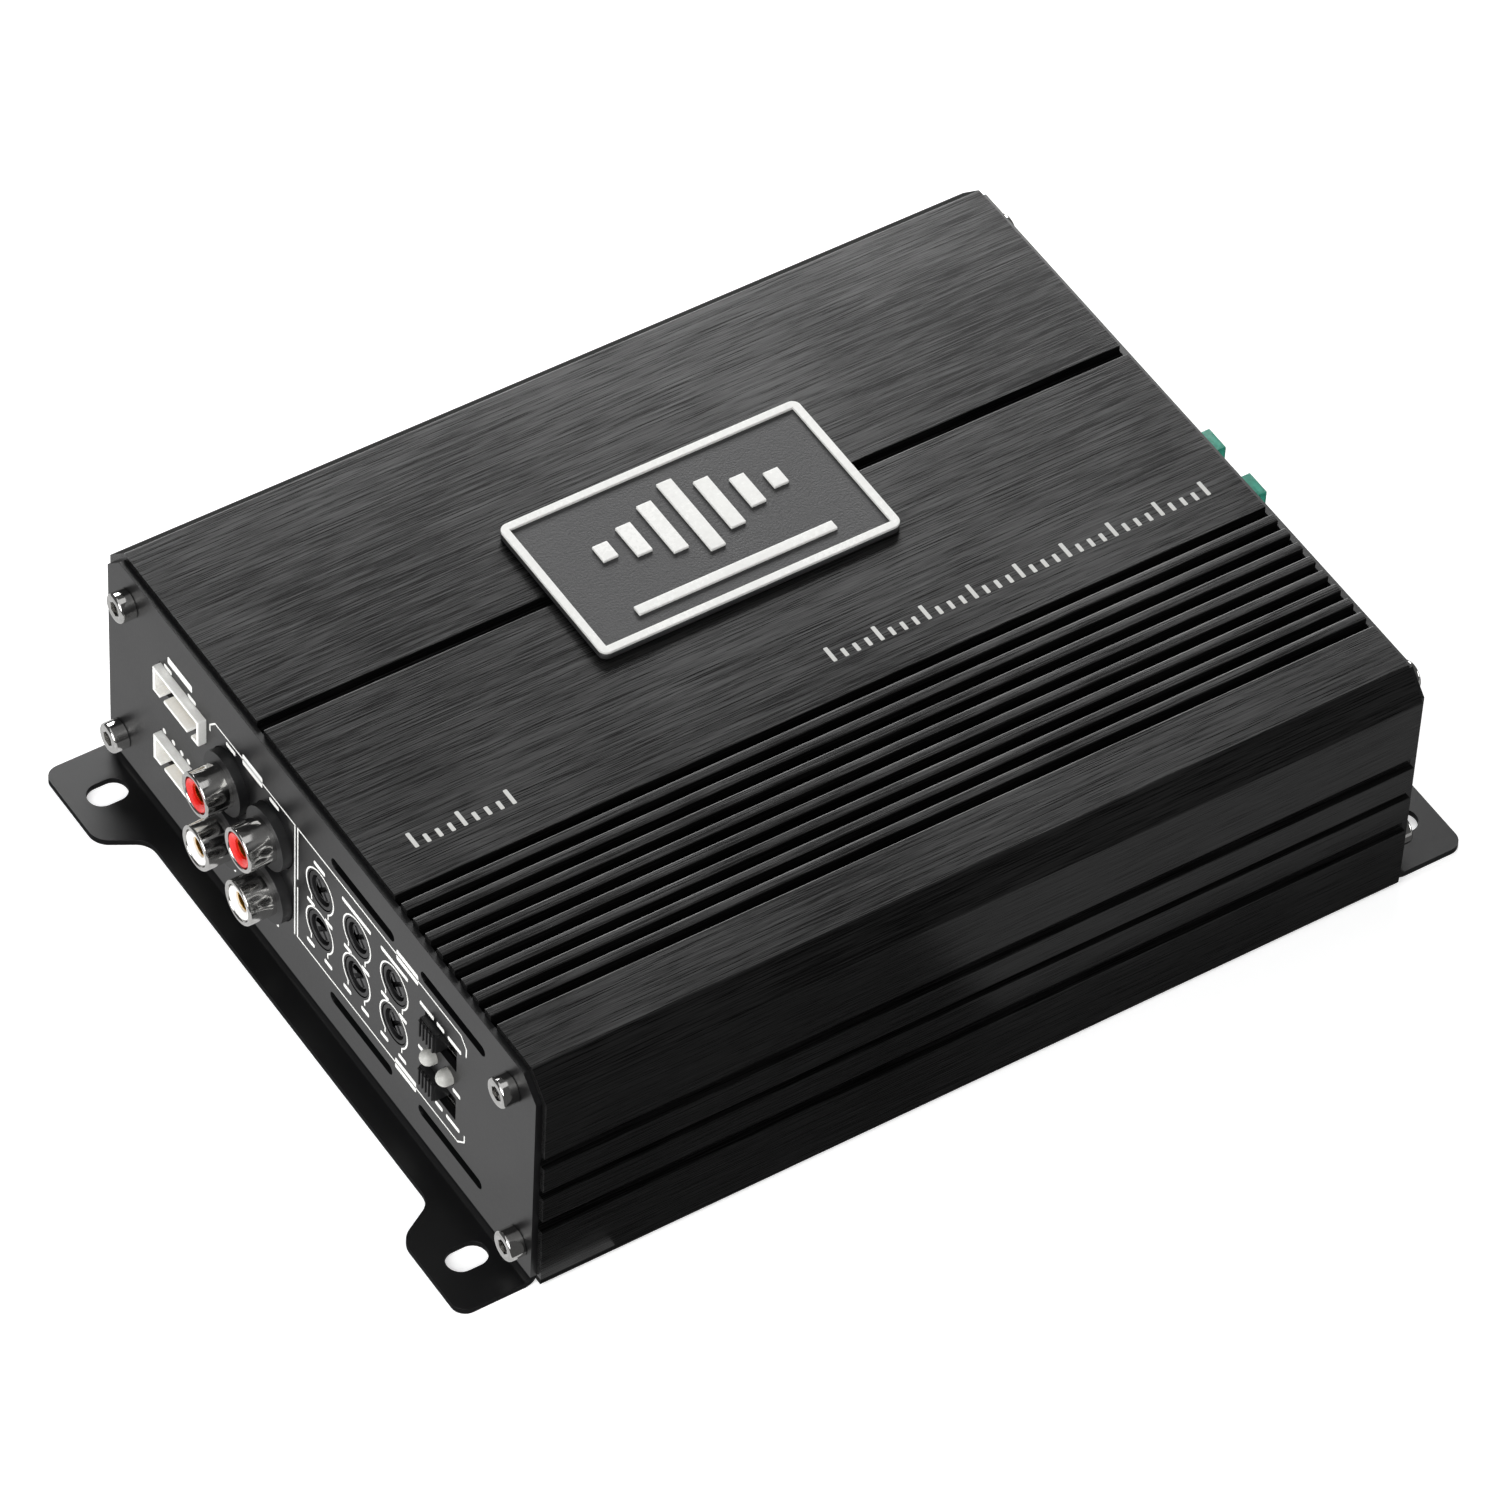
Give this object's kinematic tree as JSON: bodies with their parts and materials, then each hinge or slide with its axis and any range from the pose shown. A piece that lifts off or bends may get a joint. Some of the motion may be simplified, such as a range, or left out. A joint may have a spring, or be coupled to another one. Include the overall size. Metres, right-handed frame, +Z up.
{
  "type": "car amplifier",
  "caption": "Compact multi-channel car amplifier: finned extruded heatsink shell, bent end panels with slotted ears, phono inputs, trimmers, slide switches, fuses and screw terminals.",
  "frame": {"origin": "centre of the footprint, on the plane that the flanges stand on", "axes": "+Z up; +X along the extrusion from the input end to the output end; -Y the grooved front side"},
  "size_m": [0.1968, 0.137, 0.0519],
  "materials": {
    "brushed_aluminium": "brushed, black anodised",
    "black_powder_coat": "satin powder coat on sheet steel",
    "black_steel": "black oxide",
    "nickel_plate": "bright nickel plate",
    "badge_black": "fine moulded texture",
    "badge_white": "printed white",
    "circuit_board": "solder resist",
    "insulator": "matt film",
    "black_plastic": "moulded",
    "red_plastic": "moulded",
    "white_plastic": "moulded nylon",
    "grey_plastic": "moulded",
    "gold_plate": "flash gold plate",
    "lamp_epoxy": "diffused epoxy",
    "green_fuse_plastic": "translucent moulded",
    "ferrite": "sintered ferrite",
    "enamelled_copper": "enamelled wire",
    "capacitor_sleeve": "shrink sleeve"
  },
  "bodies": {
    "casing": {"heatsink_shell": "brushed_aluminium", "bottom_plate": "black_powder_coat", "bottom_plate_screws": "black_steel", "input_end_panel": "black_powder_coat", "output_end_panel": "black_powder_coat", "input_panel_screws": "nickel_plate", "output_panel_screws": "nickel_plate", "badge_plate": "badge_black", "badge_rim_frame": "badge_white", "badge_emblem": "badge_white", "main_board": "circuit_board", "board_screws": "nickel_plate", "control_board": "circuit_board", "header_board": "circuit_board", "insulating_sheet": "insulator", "socket_housing": "black_plastic", "socket_barrels": "nickel_plate", "upper_socket_inserts": "red_plastic", "lower_socket_inserts": "white_plastic", "socket_contacts": "gold_plate", "upper_header": "white_plastic", "lower_header": "white_plastic", "upper_header_pins": "gold_plate", "lower_header_pins": "gold_plate", "trimmer_bodies": "black_plastic", "switch_bodies": "nickel_plate", "power_lamp": "lamp_epoxy", "protection_lamp": "lamp_epoxy", "power_block": "black_plastic", "power_clamps": "nickel_plate", "power_set_screws": "nickel_plate", "speaker_block": "black_plastic", "speaker_clamps": "nickel_plate", "speaker_set_screws": "nickel_plate", "fuse_holder": "black_plastic", "fuse_contacts": "nickel_plate", "heat_spreader_bars": "brushed_aluminium", "thermal_pads": "insulator", "power_transistors": "black_plastic", "clamp_strips": "nickel_plate", "clamp_screws": "nickel_plate", "transformer_core": "ferrite", "transformer_winding": "enamelled_copper", "reservoir_capacitors": "capacitor_sleeve", "output_inductors": "ferrite", "driver_chips": "black_plastic"},
    "rotor_1_upper_body": {"rotor_1_upper": "grey_plastic"},
    "rotor_1_lower_body": {"rotor_1_lower": "grey_plastic"},
    "rotor_2_upper_body": {"rotor_2_upper": "grey_plastic"},
    "rotor_2_lower_body": {"rotor_2_lower": "grey_plastic"},
    "rotor_3_upper_body": {"rotor_3_upper": "grey_plastic"},
    "rotor_3_lower_body": {"rotor_3_lower": "grey_plastic"},
    "upper_lever_body": {"upper_switch_lever": "black_plastic"},
    "lower_lever_body": {"lower_switch_lever": "black_plastic"},
    "left_fuse": {"left_fuse_body": "green_fuse_plastic", "left_fuse_blades": "nickel_plate"},
    "right_fuse": {"right_fuse_body": "green_fuse_plastic", "right_fuse_blades": "nickel_plate"}
  },
  "joints": [
    {"name": "trim_1_upper", "type": "hinge", "parent": "casing", "child": "rotor_1_upper_body", "pos_m": [-0.0852, -0.00125, 0.0308], "axis": [-1, 0, 0], "range_deg": [-150, 150]},
    {"name": "trim_1_lower", "type": "hinge", "parent": "casing", "child": "rotor_1_lower_body", "pos_m": [-0.0852, -0.00125, 0.0212], "axis": [-1, 0, 0], "range_deg": [-150, 150]},
    {"name": "trim_2_upper", "type": "hinge", "parent": "casing", "child": "rotor_2_upper_body", "pos_m": [-0.0852, -0.0129, 0.0308], "axis": [-1, 0, 0], "range_deg": [-150, 150]},
    {"name": "trim_2_lower", "type": "hinge", "parent": "casing", "child": "rotor_2_lower_body", "pos_m": [-0.0852, -0.0129, 0.0212], "axis": [-1, 0, 0], "range_deg": [-150, 150]},
    {"name": "trim_3_upper", "type": "hinge", "parent": "casing", "child": "rotor_3_upper_body", "pos_m": [-0.0852, -0.02455, 0.0308], "axis": [-1, 0, 0], "range_deg": [-150, 150]},
    {"name": "trim_3_lower", "type": "hinge", "parent": "casing", "child": "rotor_3_lower_body", "pos_m": [-0.0852, -0.02455, 0.0212], "axis": [-1, 0, 0], "range_deg": [-150, 150]},
    {"name": "upper_switch_slide", "type": "slide", "parent": "casing", "child": "upper_lever_body", "axis": [0, -1, 0], "range_m": [0, 0.0044]},
    {"name": "lower_switch_slide", "type": "slide", "parent": "casing", "child": "lower_lever_body", "axis": [0, -1, 0], "range_m": [0, 0.0044]},
    {"name": "left_fuse_pull", "type": "slide", "parent": "casing", "child": "left_fuse", "axis": [1, 0, 0], "range_m": [0, 0.014]},
    {"name": "right_fuse_pull", "type": "slide", "parent": "casing", "child": "right_fuse", "axis": [1, 0, 0], "range_m": [0, 0.014]}
  ]
}
